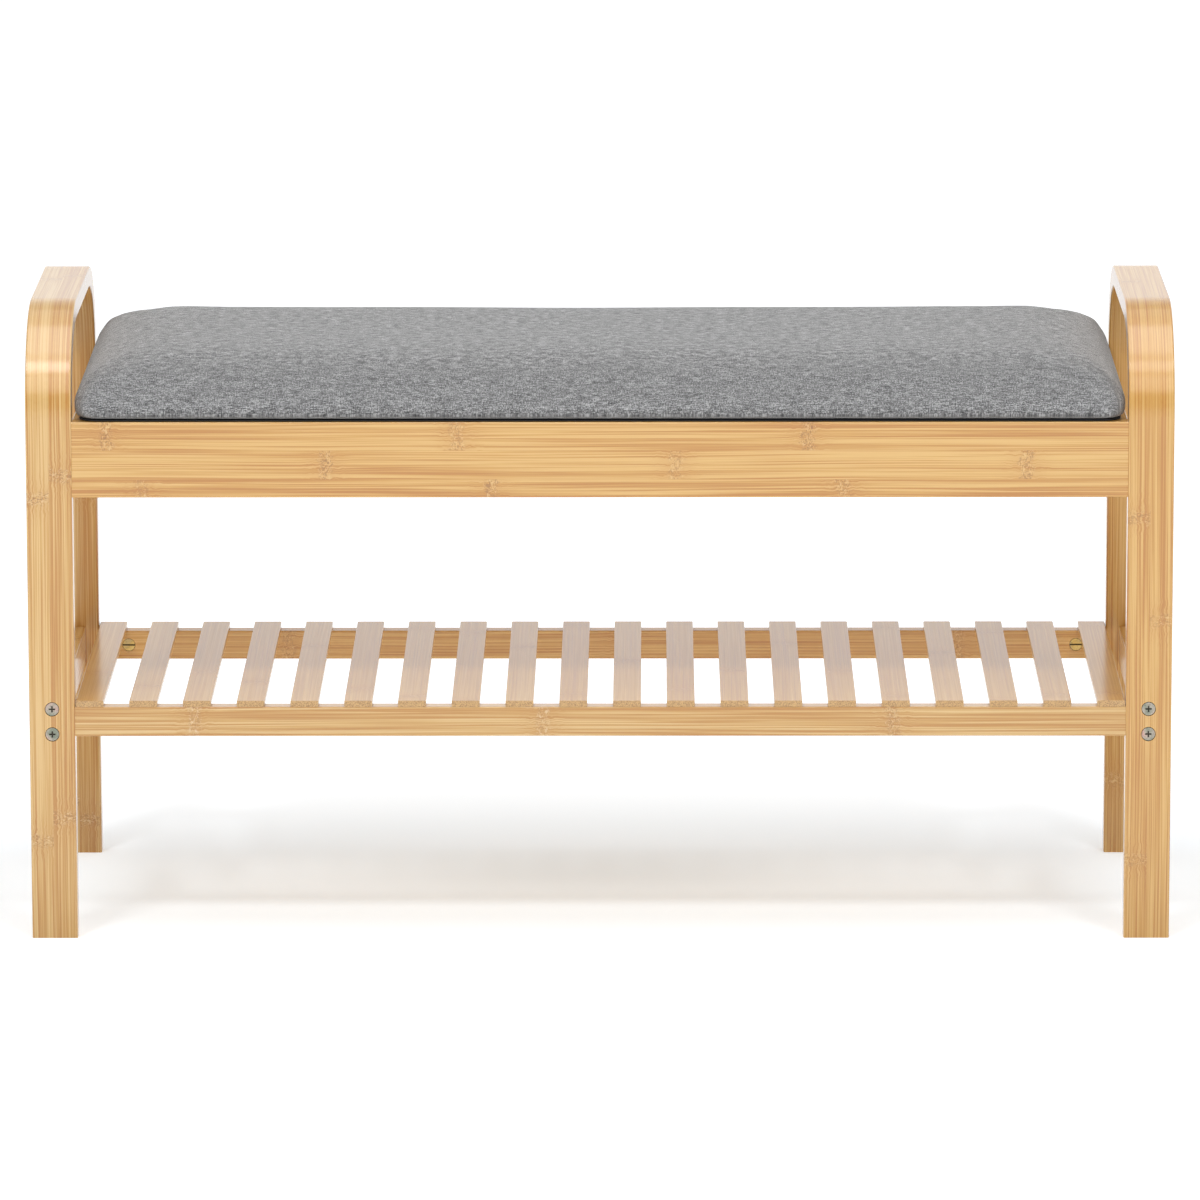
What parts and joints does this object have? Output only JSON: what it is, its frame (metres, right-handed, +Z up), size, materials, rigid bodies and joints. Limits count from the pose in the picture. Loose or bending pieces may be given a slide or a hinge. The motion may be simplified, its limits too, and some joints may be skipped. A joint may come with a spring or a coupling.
{
  "type": "entryway bench",
  "caption": "Low bench with bent-wood arch ends, a slatted shoe shelf, and a padded seat that lifts on hinges over a shallow storage tray.",
  "frame": {"origin": "on the floor under the middle of the bench", "axes": "+X to the right along the bench, -Y towards the front, +Z up"},
  "size_m": [0.9, 0.32, 0.5],
  "materials": {
    "bent_bamboo": "satin clear lacquer",
    "apron_bamboo": "satin clear lacquer",
    "rail_bamboo": "satin clear lacquer",
    "slat_bamboo": "satin clear lacquer",
    "tray_board": "satin clear lacquer",
    "dowel_wood": "raw",
    "plywood": "raw",
    "zinc_steel": "zinc plated",
    "yellow_zinc": "yellow zinc plated",
    "brad_steel": "galvanised",
    "hinge_steel": "nickel plated",
    "foam": "open-cell foam",
    "grey_fabric": "heathered linen-look weave",
    "black_nonwoven": "spun-bonded sheet"
  },
  "bodies": {
    "frame": {"left_arch_frame": "bent_bamboo", "right_arch_frame": "bent_bamboo", "front_apron": "apron_bamboo", "rear_apron": "apron_bamboo", "left_end_board": "apron_bamboo", "right_end_board": "apron_bamboo", "tray_floor": "tray_board", "front_shelf_rail": "rail_bamboo", "rear_shelf_rail": "rail_bamboo", "left_side_rail": "rail_bamboo", "right_side_rail": "rail_bamboo", "slat_01": "slat_bamboo", "slat_02": "slat_bamboo", "slat_03": "slat_bamboo", "slat_04": "slat_bamboo", "slat_05": "slat_bamboo", "slat_06": "slat_bamboo", "slat_07": "slat_bamboo", "slat_08": "slat_bamboo", "slat_09": "slat_bamboo", "slat_10": "slat_bamboo", "slat_11": "slat_bamboo", "slat_12": "slat_bamboo", "slat_13": "slat_bamboo", "slat_14": "slat_bamboo", "slat_15": "slat_bamboo", "slat_16": "slat_bamboo", "slat_17": "slat_bamboo", "slat_18": "slat_bamboo", "slat_19": "slat_bamboo", "slat_20": "slat_bamboo", "end_board_dowels": "dowel_wood", "apron_bolts": "zinc_steel", "shelf_rail_bolts": "zinc_steel", "side_rail_screws": "zinc_steel", "apron_barrel_nuts": "yellow_zinc", "shelf_barrel_nuts": "yellow_zinc", "slat_brads": "brad_steel", "hinge_left_frame_leaf": "hinge_steel", "hinge_left_pin": "hinge_steel", "hinge_right_frame_leaf": "hinge_steel", "hinge_right_pin": "hinge_steel", "frame_leaf_screws": "hinge_steel"},
    "seat_lid": {"seat_board": "plywood", "seat_foam": "foam", "seat_cover": "grey_fabric", "dust_cover": "black_nonwoven", "cover_staples": "brad_steel", "hinge_left_lid_leaf": "hinge_steel", "hinge_right_lid_leaf": "hinge_steel", "lid_leaf_screws": "hinge_steel"}
  },
  "joints": [
    {"name": "seat_hinge", "type": "hinge", "parent": "frame", "child": "seat_lid", "pos_m": [0, 0.156, 0.4151], "axis": [-1, 0, 0], "range_deg": [0, 95]}
  ]
}
